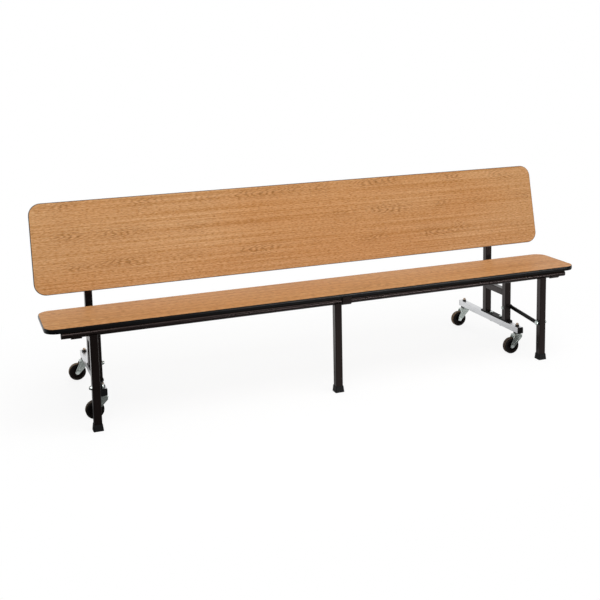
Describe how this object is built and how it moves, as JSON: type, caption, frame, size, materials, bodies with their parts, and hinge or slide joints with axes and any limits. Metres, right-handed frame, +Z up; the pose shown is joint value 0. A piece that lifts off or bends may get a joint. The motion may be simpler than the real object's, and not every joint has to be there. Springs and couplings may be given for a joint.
{
  "type": "convertible bench table",
  "caption": "Mobile bench with a fold-up laminate seat, a backrest that tilts flat into a table top, and wheeled end frames.",
  "frame": {"origin": "on the floor, midway along the bench and midway between the front of the feet and the rear ends of the caster bars", "axes": "+X along the bench, +Y from the seat front to the back, +Z up"},
  "size_m": [2.4384, 0.6676, 0.86],
  "materials": {
    "oak_laminate": "satin high-pressure laminate with an oak print",
    "edge_band": "satin moulded edge",
    "board": "sanded plywood",
    "black_powder_coat": "semi-gloss powder coat",
    "chrome_bar": "bright plated",
    "zinc": "bright zinc plate",
    "stem_brass": "yellow zinc plate",
    "wheel_core": "moulded polymer",
    "tread": "rubber tread",
    "plastic_cap": "moulded plastic",
    "lock_steel": "turned steel"
  },
  "bodies": {
    "frame": {"rear_post_left": "black_powder_coat", "rear_post_right": "black_powder_coat", "post_caps": "plastic_cap", "front_post_left": "black_powder_coat", "front_post_right": "black_powder_coat", "cross_tube_left": "black_powder_coat", "cross_tube_right": "black_powder_coat", "rear_stretcher": "black_powder_coat", "base_plate_left": "black_powder_coat", "base_plate_right": "black_powder_coat", "caster_bar_left": "chrome_bar", "caster_bar_right": "chrome_bar", "bar_end_caps": "plastic_cap", "base_bolts": "zinc", "tilt_plate_left": "black_powder_coat", "tilt_plate_right": "black_powder_coat", "pivot_bolts": "zinc", "caster_stems": "stem_brass"},
    "seat": {"seat_board": "board", "seat_laminate": "oak_laminate", "seat_edge_band": "edge_band", "seat_arm_left": "black_powder_coat", "seat_arm_right": "black_powder_coat", "rail_saddle_left": "black_powder_coat", "rail_saddle_middle": "black_powder_coat", "rail_saddle_right": "black_powder_coat"},
    "leg_set": {"leg_rail": "black_powder_coat", "rail_end_plugs": "plastic_cap", "leg_link_bolts": "zinc", "leg_left": "black_powder_coat", "leg_middle": "black_powder_coat", "leg_right": "black_powder_coat", "foot_left": "plastic_cap", "foot_middle": "plastic_cap", "foot_right": "plastic_cap"},
    "link_left": {"link_bar_left": "black_powder_coat"},
    "link_right": {"link_bar_right": "black_powder_coat"},
    "back": {"back_board": "board", "back_laminate": "oak_laminate", "back_edge_band": "edge_band", "tilt_bracket_left": "black_powder_coat", "tilt_bracket_right": "black_powder_coat"},
    "lock_left": {"lock_pin_left": "lock_steel"},
    "lock_right": {"lock_pin_right": "lock_steel"},
    "caster_front_left": {"caster_fork_front_left": "zinc", "caster_axle_front_left": "zinc"},
    "wheel_front_left": {"caster_wheel_front_left": "wheel_core", "caster_tread_front_left": "tread"},
    "caster_front_right": {"caster_fork_front_right": "zinc", "caster_axle_front_right": "zinc"},
    "wheel_front_right": {"caster_wheel_front_right": "wheel_core", "caster_tread_front_right": "tread"},
    "caster_rear_left": {"caster_fork_rear_left": "zinc", "caster_axle_rear_left": "zinc"},
    "wheel_rear_left": {"caster_wheel_rear_left": "wheel_core", "caster_tread_rear_left": "tread"},
    "caster_rear_right": {"caster_fork_rear_right": "zinc", "caster_axle_rear_right": "zinc"},
    "wheel_rear_right": {"caster_wheel_rear_right": "wheel_core", "caster_tread_rear_right": "tread"}
  },
  "joints": [
    {"name": "seat_fold", "type": "hinge", "parent": "frame", "child": "seat", "pos_m": [0, -0.073, 0.4], "axis": [-1, 0, 0], "range_deg": [0, 84]},
    {"name": "leg_swing", "type": "hinge", "parent": "seat", "child": "leg_set", "pos_m": [0, -0.313, 0.3997], "axis": [-1, 0, 0], "range_deg": [-77.6, 0]},
    {"name": "link_left_swing", "type": "hinge", "parent": "frame", "child": "link_left", "pos_m": [-1.0146, -0.09, 0.197], "axis": [-1, 0, 0], "range_deg": [0, 87.2]},
    {"name": "link_right_swing", "type": "hinge", "parent": "frame", "child": "link_right", "pos_m": [1.0146, -0.09, 0.197], "axis": [-1, 0, 0], "range_deg": [0, 87.2]},
    {"name": "back_tilt", "type": "hinge", "parent": "frame", "child": "back", "pos_m": [0, 0.086, 0.6905], "axis": [-1, 0, 0], "range_deg": [0, 77.5]},
    {"name": "lock_left_slide", "type": "slide", "parent": "back", "child": "lock_left", "axis": [1, 0, 0], "range_m": [0, 0.005]},
    {"name": "lock_right_slide", "type": "slide", "parent": "back", "child": "lock_right", "axis": [-1, 0, 0], "range_m": [0, 0.005]},
    {"name": "swivel_front_left", "type": "hinge", "parent": "frame", "child": "caster_front_left", "pos_m": [-0.99, -0.18625, 0.09], "axis": [0, 0, 1], "continuous": true},
    {"name": "roll_front_left", "type": "hinge", "parent": "caster_front_left", "child": "wheel_front_left", "pos_m": [-1.026, -0.18625, 0.0381], "axis": [0, 1, 0], "continuous": true},
    {"name": "swivel_front_right", "type": "hinge", "parent": "frame", "child": "caster_front_right", "pos_m": [0.99, -0.18625, 0.09], "axis": [0, 0, 1], "continuous": true},
    {"name": "roll_front_right", "type": "hinge", "parent": "caster_front_right", "child": "wheel_front_right", "pos_m": [0.954, -0.18625, 0.0381], "axis": [0, 1, 0], "continuous": true},
    {"name": "swivel_rear_left", "type": "hinge", "parent": "frame", "child": "caster_rear_left", "pos_m": [-0.99, 0.30575, 0.09], "axis": [0, 0, 1], "continuous": true},
    {"name": "roll_rear_left", "type": "hinge", "parent": "caster_rear_left", "child": "wheel_rear_left", "pos_m": [-1.026, 0.30575, 0.0381], "axis": [0, 1, 0], "continuous": true},
    {"name": "swivel_rear_right", "type": "hinge", "parent": "frame", "child": "caster_rear_right", "pos_m": [0.99, 0.30575, 0.09], "axis": [0, 0, 1], "continuous": true},
    {"name": "roll_rear_right", "type": "hinge", "parent": "caster_rear_right", "child": "wheel_rear_right", "pos_m": [0.954, 0.30575, 0.0381], "axis": [0, 1, 0], "continuous": true}
  ],
  "couplings": [
    {"joint": "leg_swing", "follows": "seat_fold", "ratio": -0.923},
    {"joint": "link_left_swing", "follows": "seat_fold", "ratio": 1.037},
    {"joint": "link_right_swing", "follows": "seat_fold", "ratio": 1.037}
  ]
}
